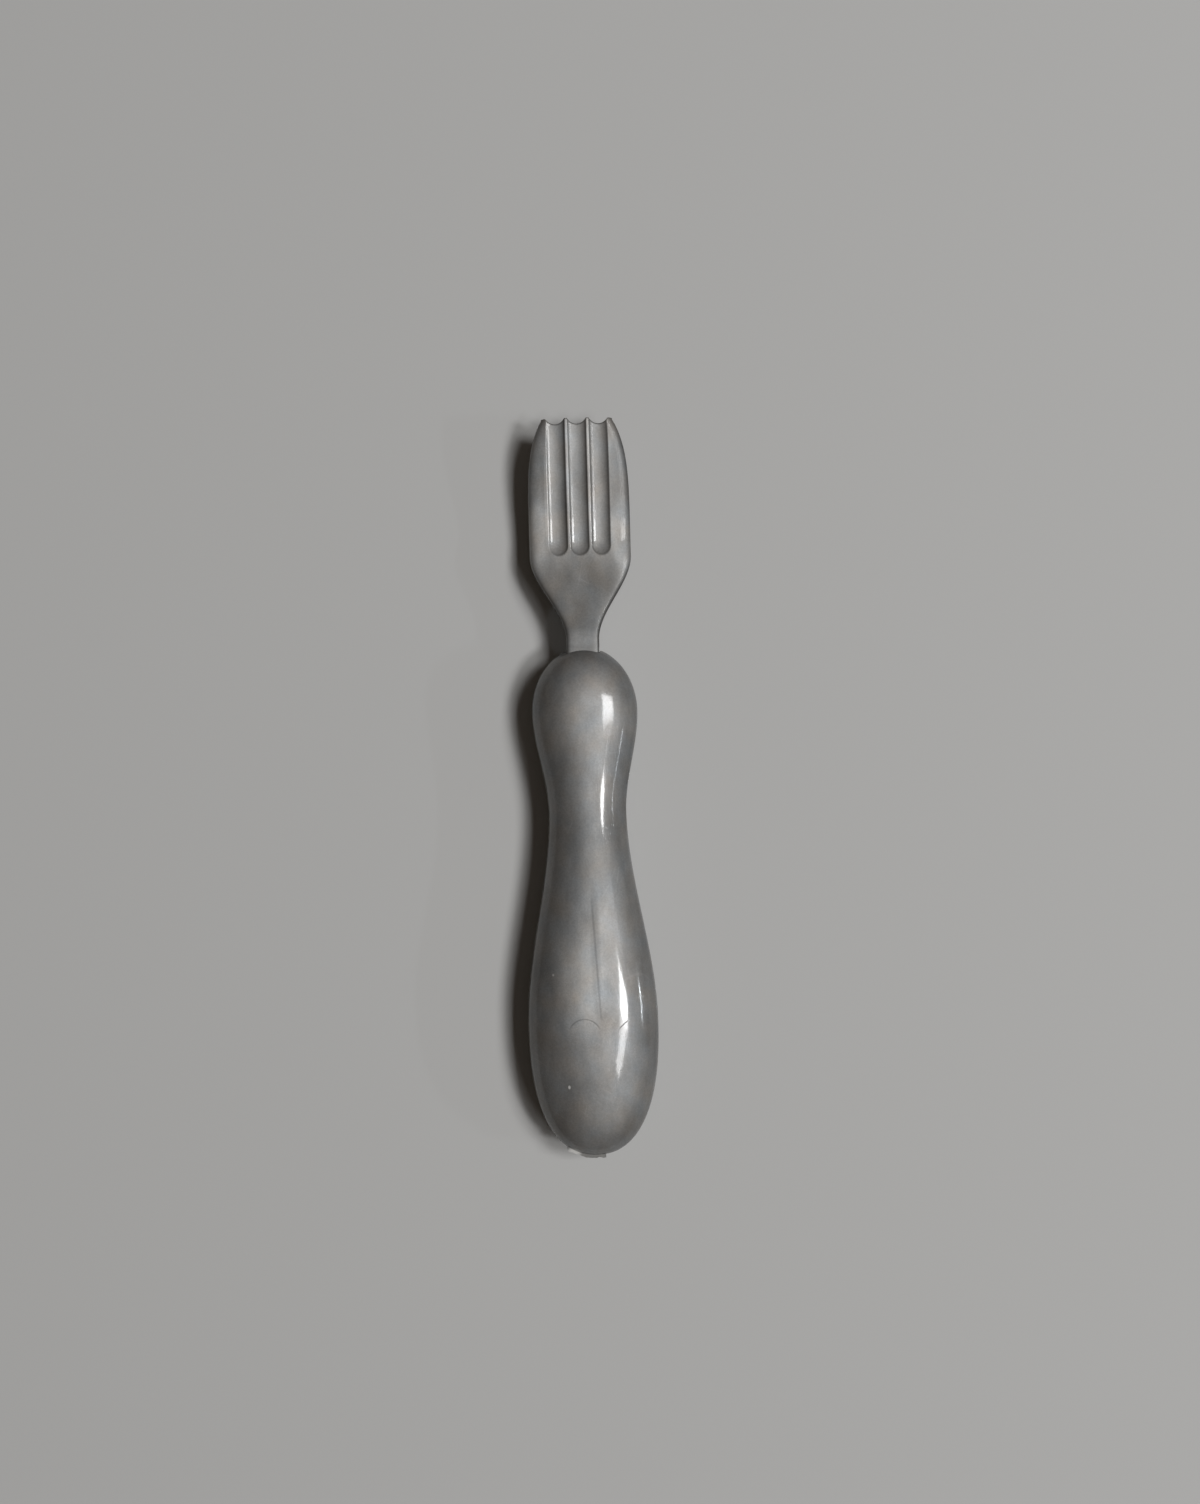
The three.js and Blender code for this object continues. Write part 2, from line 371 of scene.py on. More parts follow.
@dataclass(frozen=True)
class Layout:
    """Places along the fork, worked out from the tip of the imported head."""

    tip: float
    end_length: float = 10.65 * MM
    belly_to_waist: float = 17.1 * MM
    waist_to_bulb: float = 8.1 * MM
    nose_length: float = 5.2 * MM
    neck_length: float = 0.65 * MM
    shoulder_length: float = 6.8 * MM
    tine_length: float = 10.9 * MM
    bowl_from_root: float = 1.5 * MM
    tang_length: float = 24.0 * MM
    middle: float = 2.63 * MM

    @property
    def root(self) -> float:
        """Where the tines start."""
        return self.tip - self.tine_length

    @property
    def bowl(self) -> float:
        """Where the head lies lowest."""
        return self.root + self.bowl_from_root

    @property
    def shoulder(self) -> float:
        """Where the neck starts to widen."""
        return self.root - self.shoulder_length

    @property
    def nose(self) -> float:
        """Where the handle ends and the neck starts."""
        return self.shoulder - self.neck_length

    @property
    def bulb(self) -> float:
        """The handle's bulge next to the neck."""
        return self.nose - self.nose_length

    @property
    def waist(self) -> float:
        """The handle's narrowest place."""
        return self.bulb - self.waist_to_bulb

    @property
    def belly(self) -> float:
        """The handle's widest place."""
        return self.waist - self.belly_to_waist

    @property
    def free_end(self) -> float:
        """The handle's rounded end."""
        return self.belly - self.end_length

    @property
    def tang_end(self) -> float:
        """The end of the tang inside the handle."""
        return self.nose - self.tang_length


def value_group(name: str, inputs: dict[str, str], outputs: dict[str, str]
                ) -> tuple[TreeWriter, Node, Node]:
    """Starts a shader group and gives its writer, its input node and its output node."""
    writer = TreeWriter(bpy.data.node_groups.new(name, "ShaderNodeTree"))
    return writer, writer.declare("INPUT", inputs), writer.declare("OUTPUT", outputs)


# A fineness is per metre. Widths, radii and chances are shares of one cell of a pattern.
STREAK_DETAIL = 4.0
CLOUD_STRETCH = (0.35, 0.6, 0.35)
HAIRLINE_RUNS = ((0.35, (420.0, 45.0, 420.0)), (-0.8, (520.0, 70.0, 520.0)))
HAIRLINE_WIDTH = 0.018
BREAK_FINENESS = 380.0
BREAK_RANGE = (0.55, 0.68)
SPECK_FINENESS = 620.0
SPECK_RADIUS = (0.03, 0.075)
SPECK_CHANCE = (0.9, 0.91)


def pearl_flake_group() -> NodeTree:
    """Fine pearl flakes that differ in tone and lie at slightly different tilts.

    Returns:
        A group with a tone about 1 and a height from 0 to 1.
    """
    writer, given, result = value_group(
        "pearl_flake",
        {"Vector": VECTOR, "Fineness": FLOAT, "Contrast": FLOAT},
        {"Tone": FLOAT, "Height": FLOAT})
    cells = writer.call("ShaderNodeTexVoronoi",
                        {"Vector": given.outputs["Vector"], "Scale": given.outputs["Fineness"]})
    chance = writer.split(cells.outputs["Color"])[0]
    spread = writer.maths("MULTIPLY", writer.maths("SUBTRACT", chance, 0.5), given.outputs["Contrast"])
    writer.feed(result.inputs["Tone"], writer.maths("ADD", spread, 1.0))
    writer.feed(result.inputs["Height"], chance)
    return writer.tree


def flow_streak_group() -> NodeTree:
    """Cloudy streaks that the pearl leaves where the plastic flowed along the mould.

    Returns:
        A group with a tone about 1.
    """
    writer, given, result = value_group(
        "flow_streak",
        {"Vector": VECTOR, "Across": FLOAT, "Along": FLOAT, "Contrast": FLOAT},
        {"Tone": FLOAT})
    across = given.outputs["Across"]
    stretch = writer.joined(across, given.outputs["Along"], across)
    place = writer.vector("MULTIPLY", given.outputs["Vector"], stretch)
    streaks = writer.noise(place, 1.0, STREAK_DETAIL)
    clouds_and_painted_light = writer.noise(writer.vector("MULTIPLY", place, CLOUD_STRETCH), 1.0)
    both = writer.maths("SUBTRACT", writer.maths("ADD", streaks, clouds_and_painted_light), 1.0)
    tone = writer.maths("ADD", writer.maths("MULTIPLY", both, given.outputs["Contrast"]), 1.0)
    writer.feed(result.inputs["Tone"], tone)
    return writer.tree


def handling_wear_group() -> NodeTree:
    """Hairline scratches and specks of dust.

    Returns:
        A group with a scratch mask and a dust mask.
    """
    writer, given, result = value_group(
        "handling_wear",
        {"Vector": VECTOR, "Scratches": FLOAT, "Dust": FLOAT},
        {"Scratch": FLOAT, "Speck": FLOAT})
    place = given.outputs["Vector"]
    lines = None
    for turn, stretch in HAIRLINE_RUNS:
        turned = writer.call("ShaderNodeVectorRotate", {"Vector": place, "Angle": turn},
                             rotation_type="Z_AXIS").outputs["Vector"]
        cells = writer.call("ShaderNodeTexVoronoi",
                            {"Vector": writer.vector("MULTIPLY", turned, stretch), "Scale": 1.0},
                            feature="DISTANCE_TO_EDGE")
        line = writer.ranged(cells.outputs["Distance"], 0.0, HAIRLINE_WIDTH, 1.0, 0.0)
        lines = line if lines is None else writer.maths("MAXIMUM", lines, line)
    broken = writer.ranged(writer.noise(place, BREAK_FINENESS), *BREAK_RANGE, 0.0, 1.0)
    scratch = writer.maths("MULTIPLY", writer.maths("MULTIPLY", lines, broken),
                           given.outputs["Scratches"])
    writer.feed(result.inputs["Scratch"], scratch)
    dots = writer.call("ShaderNodeTexVoronoi", {"Vector": place, "Scale": SPECK_FINENESS})
    near = writer.ranged(dots.outputs["Distance"], *SPECK_RADIUS, 1.0, 0.0)
    few = writer.ranged(writer.split(dots.outputs["Color"])[1], *SPECK_CHANCE, 0.0, 1.0)
    speck = writer.maths("MULTIPLY", writer.maths("MULTIPLY", near, few), given.outputs["Dust"])
    writer.feed(result.inputs["Speck"], speck)
    return writer.tree


@dataclass(frozen=True)
class EffectKit:
    """The shader groups that the finishes share."""

    flake: NodeTree
    streak: NodeTree
    wear: NodeTree

    @classmethod
    def make(cls) -> "EffectKit":
        """Builds the three groups once."""
        return cls(pearl_flake_group(), flow_streak_group(), handling_wear_group())


@dataclass(frozen=True)
class Canvas:
    """A material's writer and the place across and along the fork that it paints."""

    writer: TreeWriter
    x: Socket
    y: Socket

    def away_from(self, point: Point) -> list[Socket]:
        """How far the place lies from a point, across and along the fork."""
        return [self.writer.maths("SUBTRACT", *pair) for pair in zip((self.x, self.y), point)]


@dataclass(frozen=True)
class Spot:
    """A soft oval in the surface, seen from above."""

    centre: Point
    half: Point
    strength: float

    @classmethod
    def in_mm(cls, x: float, y: float, half_x: float, half_y: float, strength: float) -> "Spot":
        """An oval whose place and half sizes are given in millimetres."""
        return cls((x * MM, y * MM), (half_x * MM, half_y * MM), strength)

    def mask(self, canvas: Canvas) -> Socket:
        """Paints the oval.

        Args:
            canvas: What it is painted on.

        Returns:
            A mask that is the spot's strength in its middle and fades to 0 at its edge.
        """
        writer = canvas.writer
        parts = [writer.maths("DIVIDE", *pair) for pair in zip(canvas.away_from(self.centre), self.half)]
        return writer.ranged(writer.square_sum(*parts), 0.0, 1.0, self.strength, 0.0, eased=True)


@dataclass(frozen=True)
class FlowMarks:
    """The fold line and the arc that the stream of plastic left in the belly's face."""

    fold_start: Point = (0.03 * MM, -7.0 * MM)
    fold_end: Point = (0.65 * MM, -18.2 * MM)
    fold_width: float = 0.16 * MM
    fold_strength: float = 0.75
    fade_share: float = 0.35
    arc_centre: Point = (-0.68 * MM, -19.39 * MM)
    arc_radius: float = 1.29 * MM
    arc_low: float = 0.3 * MM
    arc_high: float = 0.95 * MM
    arc_width: float = 0.1 * MM
    crack_start: Point = (1.9 * MM, -19.05 * MM)
    crack_end: Point = (2.85 * MM, -18.3 * MM)
    crack_width: float = 0.07 * MM

    def line(self, canvas: Canvas, start: Point, end: Point, width: float) -> Socket:
        """A hairline between two points.

        Args:
            canvas: What it is painted on.
            start: The end of the line that fades in.
            end: The other end.
            width: How far to each side the line fades out.

        Returns:
            A mask that is 1 on the line.
        """
        writer = canvas.writer
        run = Vector(end) - Vector(start)
        along = run.normalized()
        from_x, from_y = canvas.away_from(start)
        reach = writer.maths("MULTIPLY_ADD", from_x, along.x, writer.maths("MULTIPLY", from_y, along.y))
        off = writer.maths("MULTIPLY_ADD", from_x, along.y, writer.maths("MULTIPLY", from_y, -along.x))
        thin = writer.ranged(writer.maths("ABSOLUTE", off), 0.0, width, 1.0, 0.0, eased=True)
        begun = writer.ranged(reach, 0.0, self.fade_share * run.length, 0.0, 1.0, eased=True)
        ended = writer.ranged(reach, run.length - width, run.length, 1.0, 0.0)
        return writer.maths("MULTIPLY", thin, writer.maths("MULTIPLY", begun, ended))

    def arc(self, canvas: Canvas) -> Socket:
        """The front of the folded stream, a shallow arc open towards the free end.

        Args:
            canvas: What it is painted on.

        Returns:
            A mask that is 1 on the arc.
        """
        writer = canvas.writer
        from_x, from_y = canvas.away_from(self.arc_centre)
        away = writer.maths("SQRT", writer.square_sum(from_x, from_y))
        off = writer.maths("ABSOLUTE", writer.maths("SUBTRACT", away, self.arc_radius))
        thin = writer.ranged(off, 0.0, self.arc_width, 1.0, 0.0, eased=True)
        upper = writer.ranged(from_y, self.arc_low, self.arc_high, 0.0, 1.0, eased=True)
        return writer.maths("MULTIPLY", thin, upper)

    def lines(self, canvas: Canvas) -> Socket:
        """All the hairlines together.

        Args:
            canvas: What they are painted on.

        Returns:
            A mask that is 1 on the sharpest lines.
        """
        writer = canvas.writer
        fold = self.line(canvas, self.fold_start, self.fold_end, self.fold_width)
        crack = self.line(canvas, self.crack_start, self.crack_end, self.crack_width)
        both = writer.maths("MAXIMUM", writer.maths("MULTIPLY", fold, self.fold_strength), crack)
        return writer.maths("MAXIMUM", both, self.arc(canvas))


@dataclass(frozen=True)
class PearlPlastic:
    """Silver pearl plastic: a grey base full of fine flakes under a clear, glossy skin."""

    name: str
    shade: Colour
    metallic: float = 0.85
    roughness: float = 0.6
    edge_tint: float = 0.08
    coat: float = 0.78
    coat_roughness: float = 0.095
    flake_lean: float = 0.125
    flake_fineness: float = 9000.0
    flake_contrast: float = 0.14
    flake_height: float = 0.12
    grain_depth: float = 0.012 * MM
    streak_across: float = 900.0
    streak_along: float = 380.0
    streak_contrast: float = 0.58
    play_of_colour: float = 0.2
    play_fineness: float = 520.0
    scratches: float = 0.3
    scratch_depth: float = 0.3
    scratch_paleness: float = 0.25
    dust: float = 0.5
    chip_shade: Colour = (0.75, 0.74, 0.72)
    chip_roughness: float = 0.25
    line_dulling: float = 0.7
    line_darkening: float = 0.3
    line_depth: float = 0.5
    marks: FlowMarks | None = None
    # Soft spots that lighten and darken the tone: a few are the pearl's clouds, most are painted
    # highlights and painted shade.
    clouds_and_painted_light: tuple[Spot, ...] = ()
    chips: tuple[Spot, ...] = ()
    dull: tuple[Spot, ...] = ()

    def material(self, kit: EffectKit) -> Material:
        """Builds the material.

        Args:
            kit: The shared shader groups.

        Returns:
            The material.
        """
        made = bpy.data.materials.new(self.name)
        made.use_nodes = True
        made.node_tree.nodes.clear()
        writer = TreeWriter(made.node_tree)
        coordinates = writer.add("ShaderNodeTexCoord").outputs
        place = coordinates["Object"]
        flake = self.effect(writer, kit.flake, place, Fineness=self.flake_fineness,
                            Contrast=self.flake_contrast)
        streak = self.effect(writer, kit.streak, place, Across=self.streak_across,
                             Along=self.streak_along, Contrast=self.streak_contrast)
        wear = self.effect(writer, kit.wear, place, Scratches=self.scratches, Dust=self.dust)
        x, y, _ = writer.split(place)
        # The underside counts as a metre aside, out of reach of the marks on the face.
        under = writer.maths("LESS_THAN", writer.split(coordinates["Normal"])[2], 0.0)
        face = Canvas(writer, writer.maths("ADD", x, under), y)
        tone = writer.maths("MULTIPLY", flake["Tone"], streak["Tone"])
        height = writer.maths("MULTIPLY", flake["Height"], self.flake_height)
        height = writer.sunk(height, wear["Scratch"], self.scratch_depth)
        coat: object = self.coat
        if self.marks:
            lines = self.marks.lines(face)
            coat = writer.faded(coat, lines, self.line_dulling)
            tone = writer.faded(tone, lines, self.line_darkening)
            height = writer.sunk(height, lines, self.line_depth)
        # Lightens and darkens the tone in soft spots: pearl clouds, painted highlights and painted shade.
        for tone_or_light_spot in self.clouds_and_painted_light:
            tone = writer.maths("MULTIPLY", tone, writer.maths("ADD", tone_or_light_spot.mask(face), 1.0))
        for spot in self.dull:
            coat = writer.faded(coat, spot.mask(face))
        pale = writer.maths("MULTIPLY", wear["Scratch"], self.scratch_paleness)
        pale = writer.maths("MAXIMUM", pale, wear["Speck"])
        for chip in self.chips:
            pale = writer.maths("MAXIMUM", pale, chip.mask(Canvas(writer, x, y)))
        bump = writer.call("ShaderNodeBump", {
            "Height": height, "Strength": 1.0, "Distance": self.grain_depth}).outputs["Normal"]
        lean = writer.call("ShaderNodeVectorTransform", {"Vector": (self.flake_lean, 0.0, 0.0)},
                           vector_type="VECTOR", convert_from="OBJECT", convert_to="WORLD")
        flakes = writer.vector("ADD", bump, lean.outputs["Vector"])
        skin = writer.call("ShaderNodeBsdfPrincipled", {
            "Base Color": self.base_colour(writer, place, tone, pale),
            "Metallic": self.metallic,
            "Specular Tint": (self.edge_tint, self.edge_tint, self.edge_tint, 1.0),
            "Roughness": writer.maths("MULTIPLY_ADD", pale, self.chip_roughness, self.roughness),
            "Coat Weight": coat,
            "Coat Roughness": self.coat_roughness,
            "Normal": writer.vector("NORMALIZE", flakes),
            "Coat Normal": bump,
        })
        out = writer.add("ShaderNodeOutputMaterial")
        writer.feed(out.inputs["Surface"], skin.outputs["BSDF"])
        return made

    def base_colour(self, writer: TreeWriter, place: Socket, tone: Socket, pale: Socket) -> Socket:
        """The plastic's colour, with its play of warm and cool and its pale chips.

        Args:
            writer: The material's writer.
            place: Object coordinates.
            tone: How light the plastic is, about 1.
            pale: A mask that is 1 where it is chipped or dusty.

        Returns:
            The colour.
        """
        warmth = writer.maths("SUBTRACT", writer.noise(place, self.play_fineness), 0.5)
        warmth = writer.maths("MULTIPLY", warmth, self.play_of_colour)
        red, blue = (writer.maths(change, 1.0, warmth) for change in ("ADD", "SUBTRACT"))
        play = writer.joined(red, 1.0, blue)
        mixed = writer.call("ShaderNodeMix", {"Factor": pale}, data_type="RGBA")
        plain, chipped = mixed.inputs[6], mixed.inputs[7]
        writer.feed(plain, writer.scaled(writer.vector("MULTIPLY", self.shade, play), tone))
        writer.feed(chipped, (*self.chip_shade, 1.0))
        return mixed.outputs[2]

    @staticmethod
    def effect(writer: TreeWriter, group: NodeTree, place: Socket,
               **values: float) -> bpy_prop_collection:
        """Adds a shared group, fed with a place and its other inputs by name, and gives its outputs."""
        return writer.call("ShaderNodeGroup", {"Vector": place, **values}, node_tree=group).outputs


@dataclass
class ForkHead:
    """The fluted head with its shoulders, neck and tang."""

    layout: Layout
    neck_width: float = 2.65 * MM
    head_width: float = 8.2 * MM
    tip_span: float = 5.6 * MM
    tip_draw_in: float = 5.0
    blade_thickness: float = 1.5 * MM
    tip_thickness: float = 1.2 * MM
    neck_fullness: float = 7.0
    tine_fullness: float = 2.8
    flute_count: int = 3
    flute_width: float = 1.5 * MM
    flute_depth: float = 0.22 * MM
    flute_run_out: float = 1.2 * MM
    flute_end_share: float = 0.55
    crest_width: float = 0.25 * MM
    scallop_depth: float = 0.42 * MM
    bowl_drop: float = 0.35 * MM
    bend_length: float = 1.6 * MM
    tine_rise: float = 1.03 * MM
    tang_taper: float = 2.5 * MM
    tang_end_width: float = 1.7 * MM
    crest_rounding: float = 0.04 * MM
    point_rounding: float = 0.08 * MM
    edge_rounding: float = 0.12 * MM
    straight_half: float = 2.5 * MM
    column_step: float = 0.05 * MM
    row_step: float = 0.09 * MM
    profile_points: int = 4001
    end_turns: tuple[float, ...] = (20.0, 40.0, 60.0, 78.0, 90.0)
    seam_radius: float = 0.05 * MM
    seam_inset: float = 0.03 * MM
    seam_points: int = 120

    @property
    def flute_pitch(self) -> float:
        """From the middle of one flute to the next."""
        return self.flute_width + self.crest_width

    @property
    def flute_places(self) -> np.ndarray:
        """The middles of the flutes across the head."""
        return (np.arange(self.flute_count) - (self.flute_count - 1) / 2) * self.flute_pitch

    def half_width(self, y: np.ndarray) -> np.ndarray:
        """Half the width of head, neck and tang.

        Args:
            y: Places along the fork.

        Returns:
            Half the width at each place.
        """
        at = self.layout
        into_tang = np.clip((y - at.tang_end) / self.tang_taper, 0.0, 1.0)
        tang = self.tang_end_width + (self.neck_width - self.tang_end_width) * into_tang
        shoulder = (self.head_width - self.neck_width) * eased(y, at.shoulder, at.root)
        to_tip = np.clip((y - at.root) / at.tine_length, 0.0, 1.0)
        drawn_in = (self.head_width - self.tip_span) * to_tip ** self.tip_draw_in
        return (tang + shoulder - drawn_in) / 2

    def half_thickness(self, y: np.ndarray) -> np.ndarray:
        """Half the thickness of the blade at each place along the fork."""
        to_tip = np.clip((y - self.layout.root) / self.layout.tine_length, 0.0, 1.0)
        return (self.blade_thickness + (self.tip_thickness - self.blade_thickness) * to_tip) / 2

    def middle(self, y: np.ndarray) -> np.ndarray:
        """Height of the middle of the blade, which sinks to a bowl and rises to the tips.

        Args:
            y: Places along the fork.

        Returns:
            The height at each place.
        """
        at = self.layout
        drop = self.bowl_drop * eased(y, at.shoulder, at.bowl)
        past_bowl = np.clip(y, at.bowl, at.tip) - at.bowl
        in_bend = np.minimum(past_bowl, self.bend_length)
        run = in_bend ** 2 / (2 * self.bend_length) + past_bowl - in_bend
        full_run = at.tip - at.bowl - self.bend_length / 2
        return at.middle - drop + self.tine_rise * run / full_run

    def tip_edge(self, x: np.ndarray) -> np.ndarray:
        """The scalloped edge of the tips, with its points rounded a little.

        Args:
            x: Places across the head.

        Returns:
            How far along the fork the head reaches at each place.
        """
        depth = self.scallop_depth
        radius = (self.flute_width ** 2 / 4 + depth ** 2) / (2 * depth)
        edge = np.full_like(x, self.layout.tip)
        for place in self.flute_places:
            reach = np.clip(radius ** 2 - (x - place) ** 2, 0.0, None)
            edge = soft_minimum(edge, self.layout.tip - depth + radius - np.sqrt(reach),
                                self.point_rounding)
        return edge

    def swell(self, x: np.ndarray | float, y: np.ndarray, grow_by: float = 0.0) -> np.ndarray:
        """Height of the face over the middle of the blade, without its flutes.

        Args:
            x: Places across the head.
            y: Places along the fork.
            grow_by: How much larger the blade is all round.

        Returns:
            The height at each place, which the back has too.
        """
        half_way = (self.layout.shoulder + self.layout.root) / 2
        power = self.neck_fullness + (self.tine_fullness - self.neck_fullness) * eased(
            y, half_way, self.layout.bowl)
        section = np.clip(1.0 - np.abs(x / self.half_width(y)) ** power, 0.0, None)
        return (self.half_thickness(y) + grow_by) * section ** (1 / power)

    def flute_floor(self, x: np.ndarray, y: np.ndarray) -> np.ndarray:
        """Height of the nearest flute's hollow over the middle of the blade.

        Args:
            x: Places across the head.
            y: Places along the fork.

        Returns:
            The height at each place, above the face where there is no flute.
        """
        radius = self.flute_width / 2
        before = np.clip(self.layout.root + radius - y, 0.0, None)
        rising = eased(y, self.layout.root, self.layout.root + self.flute_run_out)
        depth = self.flute_depth * (self.flute_end_share + (1.0 - self.flute_end_share) * rising)
        floor = np.full_like(x, self.head_width)
        for place in self.flute_places:
            out = np.hypot(x - place, before) / radius
            dip = depth * np.sqrt(np.clip(1.0 - out ** 2, 0.0, None))
            beside = self.flute_width * np.clip(out - 1.0, 0.0, None)
            floor = np.minimum(floor, self.swell(place, y) - dip + beside)
        return floor

    def columns(self) -> np.ndarray:
        """Shares of the half width, evenly spaced round the blade's section at the root.

        Returns:
            Shares from 1 at the right edge to -1 at the left.
        """
        angle = np.linspace(0.0, 1.0, self.profile_points) ** 2 * math.pi / 2
        across = np.cos(angle) ** (2 / self.tine_fullness)
        up = np.sin(angle) ** (2 / self.tine_fullness)
        steps = np.hypot(np.diff(across) * self.head_width, np.diff(up) * self.blade_thickness) / 2
        run = np.concatenate([[0.0], np.cumsum(steps)])
        even = np.linspace(0.0, run[-1], int(run[-1] / self.column_step) + 1)
        right = np.interp(even, run, across)
        right[0] = 1.0
        right[-1] = 0.0
        return np.concatenate([right, -right[-2::-1]])

    def across(self, share: np.ndarray, y: np.ndarray) -> np.ndarray:
        """Place across the head of each column, straight along the flutes and drawn in beside them.

        Args:
            share: The columns' shares of the half width.
            y: Places along the fork.

        Returns:
            Each column's place at each y.
        """
        half = self.half_width(y)
        full = self.head_width / 2
        at_root = np.abs(share) * full
        beside = self.straight_half + (at_root - self.straight_half) * (
            (half - self.straight_half) / (full - self.straight_half))
        on_tines = np.where(at_root <= self.straight_half, at_root, beside)
        return np.sign(share) * np.where(y < self.layout.root, np.abs(share) * half, on_tines)

    def sheets(self, start: float) -> tuple[np.ndarray, np.ndarray]:
        """The head's face and back as two grids of points that meet along both edges.

        Args:
            start: Where the first row lies.

        Returns:
            The face's points and the back's, by row and column.
        """
        share = self.columns()[None, :]
        at_tip = self.across(share, np.full_like(share, self.layout.tip))
        end = self.tip_edge(at_tip) - self.edge_rounding
        rows = max(2, int((self.layout.tip - start) / self.row_step))
        y = start + (end - start) * np.linspace(0.0, 1.0, rows)[:, None]
        return self.skin(share, y, 0.0)

    def skin(self, share: np.ndarray, y: np.ndarray, grow_by: float) -> tuple[np.ndarray, np.ndarray]:
        """Points on the face and the back at given places.

        Args:
            share: The columns' shares of the half width.
            y: Places along the fork, by row and column.
            grow_by: How much larger the blade is all round.

        Returns:
            The face's points and the back's.
        """
        x = self.across(share, y)
        half = self.half_width(y)
        swell = self.swell(x, y, grow_by)
        middle = self.middle(y)
        hollow = middle + self.flute_floor(x, y)
        face = np.where(y > self.layout.shoulder,
                        soft_minimum(middle + swell, hollow, self.crest_rounding), middle + swell)
        edge = np.abs(share) >= 1.0
        face = np.where(edge, middle, face)
        x = x * (half + grow_by) / half
        return np.stack([x, y, face], -1), np.stack([x, y, middle - swell], -1)

    @staticmethod
    def join_sheets(name: str, face: np.ndarray, back: np.ndarray) -> Mesh:
        """Joins two grids of points along their edges and ends.

        Args:
            name: The mesh's name.
            face: The face's points, by row and column.
            back: The back's points, alike.

        Returns:
            A closed mesh.
        """
        rows, cols = face.shape[:2]
        ring = np.concatenate([face, back[:, -2:0:-1]], axis=1)
        index, faces = ring_faces(rows, ring.shape[1])
        for row in (index[0], index[-1]):
            for col in range(cols - 1):
                corners = [row[col], row[col + 1], row[-col - 1], row[-col]]
                faces.append([int(c) for c in dict.fromkeys(corners)])
        return closed_mesh(name, ring.reshape(-1, 3).tolist(), faces)

    def rounded_end(self, face: np.ndarray, back: np.ndarray) -> tuple[np.ndarray, np.ndarray]:
        """Rows that round the tips off, from the last row of the face and the back.

        Args:
            face: The face's points.
            back: The back's points.

        Returns:
            The face and the back with the rounded rows added.
        """
        top, low = face[-1], back[-1]
        centre = (top[:, 2] + low[:, 2]) / 2
        half = np.maximum((top[:, 2] - low[:, 2]) / 2, 1e-9)
        more_top, more_low = [], []
        for turn in np.radians(self.end_turns):
            left = half - np.minimum(self.edge_rounding * (1 - math.cos(turn)), half)
            y = top[:, 1] + self.edge_rounding * math.sin(turn)
            more_top.append(np.stack([top[:, 0], y, centre + left], -1))
            more_low.append(np.stack([low[:, 0], y, centre - left], -1))
        return np.concatenate([face, more_top]), np.concatenate([back, more_low])

    def tang_rows(self, grow_by: float, until: float) -> tuple[np.ndarray, np.ndarray]:
        """The tang's face and back, from its end to a place along the fork.

        Args:
            grow_by: How much larger it is all round.
            until: Where the rows stop.

        Returns:
            The face's points and the back's.
        """
        at = self.layout
        share = self.columns()[None, :]
        stations = np.array([at.tang_end, at.tang_end + self.tang_taper, until])
        y = stations[:, None] + np.zeros_like(share)
        face, back = self.skin(share, y, grow_by)
        face[0, :, 1] -= grow_by
        back[0, :, 1] -= grow_by
        return face, back

    def socket(self, clearance: float) -> Object:
        """A solid that cuts the tang's room into the handle, with a gap all round."""
        face, back = self.tang_rows(clearance, self.layout.shoulder)
        return add_object(self.join_sheets("tang_socket", face, back))

    def build(self, finish: Material) -> Object:
        """Makes the head with its tang.

        Args:
            finish: Its material.

        Returns:
            The finished piece.
        """
        tang_face, tang_back = self.tang_rows(0.0, self.layout.nose - self.row_step)
        face, back = self.sheets(self.layout.nose)
        face, back = self.rounded_end(face, back)
        mesh = self.join_sheets("fork_head_skin", np.concatenate([tang_face, face]),
                                np.concatenate([tang_back, back]))
        mesh.polygons.foreach_set("use_smooth", [True] * len(mesh.polygons))
        mesh.materials.append(finish)
        piece = add_object(mesh)
        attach(piece, "root")
        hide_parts(Solid.HEAD.value)
        return piece

    def seam_path(self, side: int) -> np.ndarray:
        """Points where the mould's halves met, along the head's right edge (1) or its left (-1)."""
        y = np.linspace(self.layout.nose, self.layout.tip - self.scallop_depth, self.seam_points)
        x = side * (self.half_width(y) - self.seam_inset)
        return np.stack([x, y, self.middle(y)], -1)


@dataclass(frozen=True)
class Section:
    """The handle's size at one place: its width, and how far it goes above and below the middle."""

    width: float
    rise: float
    depth: float


